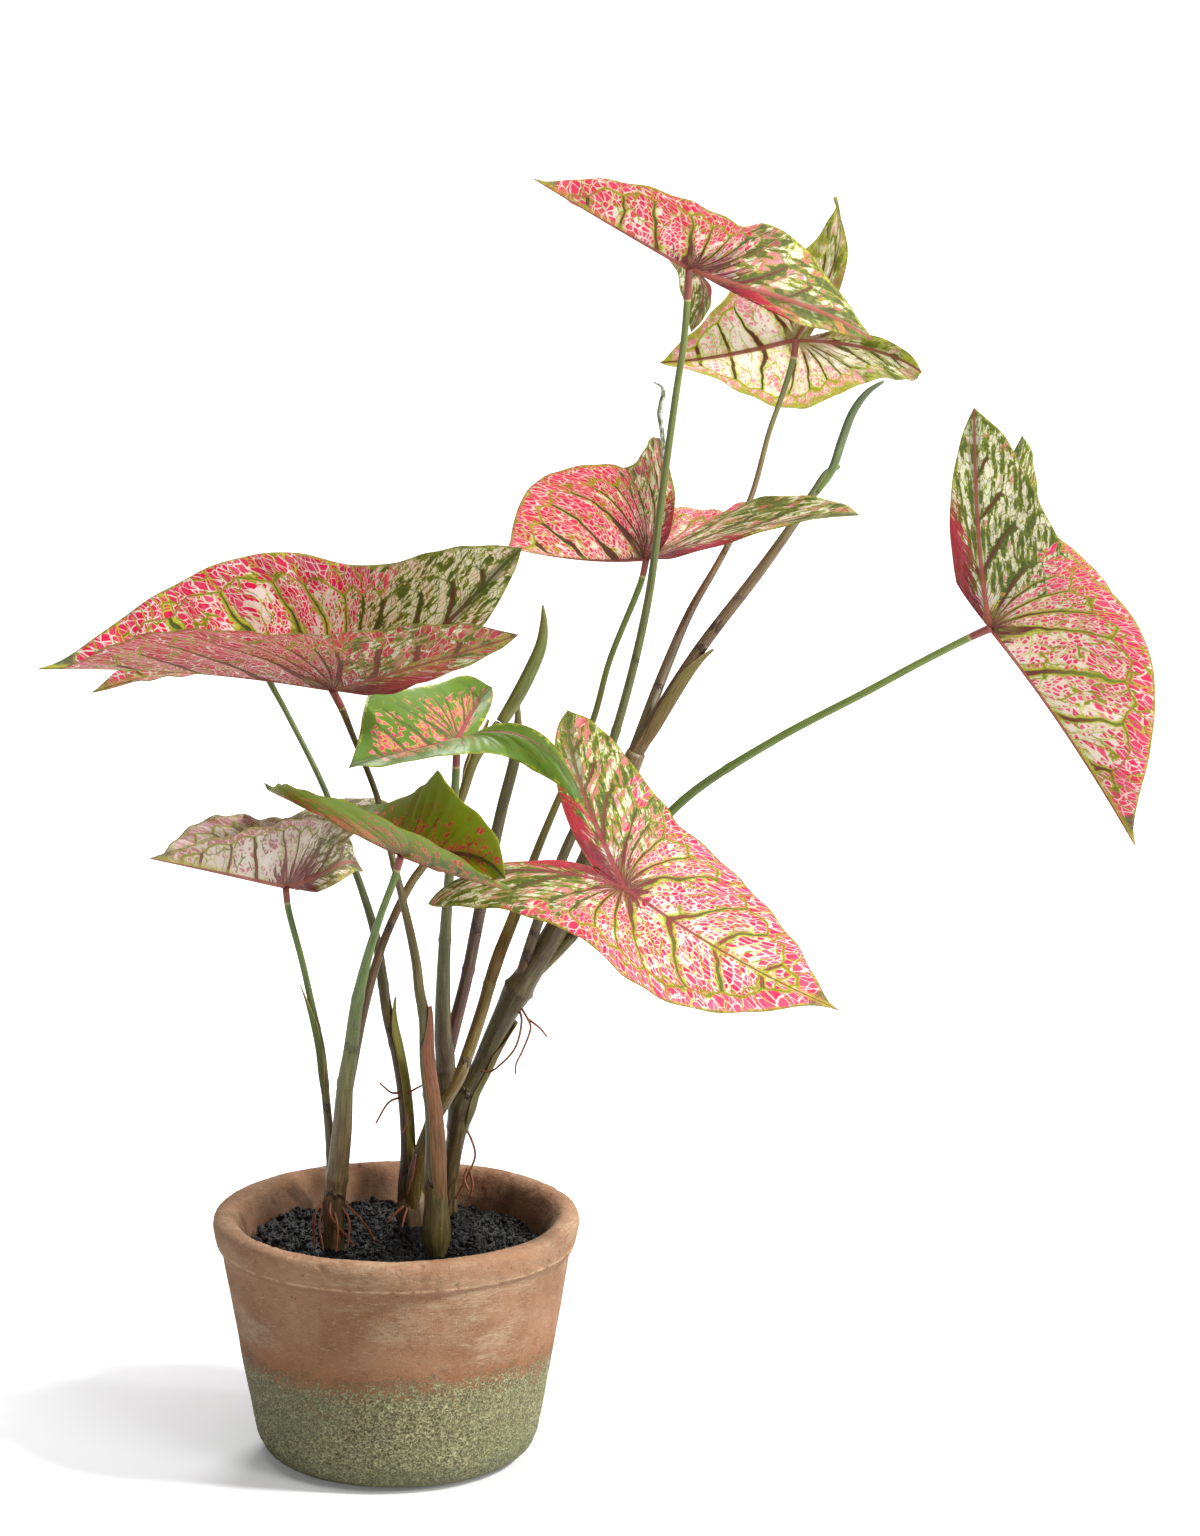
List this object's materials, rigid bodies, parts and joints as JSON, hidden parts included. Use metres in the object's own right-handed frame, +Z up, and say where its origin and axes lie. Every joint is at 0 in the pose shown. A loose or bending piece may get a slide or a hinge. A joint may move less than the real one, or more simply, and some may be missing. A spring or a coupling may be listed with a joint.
{
  "type": "caladium in a pot",
  "caption": "Caladium with arrow-shaped pink and green leaves on slender leaning stems, growing in a thick-lipped terracotta pot filled with soil.",
  "frame": {"origin": "middle of the pot's flat base, on the surface it stands on", "axes": "+Z up along the pot's axis, +X towards the side the plant leans to, -Y towards the plant's front"},
  "size_m": [0.6023, 0.4115, 0.706],
  "materials": {
    "terracotta": "unglazed terracotta, chalky above and mossy below",
    "soil": "crumbly black potting mix",
    "pink_blade": "thin satin leaf, pink with green veins",
    "green_blade": "thin satin leaf, green with pink flecks",
    "green_stem": "smooth fleshy leaf stalk",
    "brown_stem": "smooth fleshy leaf stalk, brown"
  },
  "bodies": {
    "root": {"pot": "terracotta", "soil": "soil", "leaf_top": "pink_blade", "leaf_behind": "pink_blade", "leaf_middle": "pink_blade", "leaf_right": "pink_blade", "leaf_left": "pink_blade", "leaf_left_behind": "pink_blade", "leaf_low_left": "pink_blade", "leaf_front": "pink_blade", "leaf_green_high": "green_blade", "leaf_green_low": "green_blade", "cane_main": "green_stem", "cane_centre": "brown_stem", "cane_left": "brown_stem", "cane_front": "brown_stem", "furled_right": "green_stem", "furled_centre": "green_stem"}
  },
  "joints": []
}
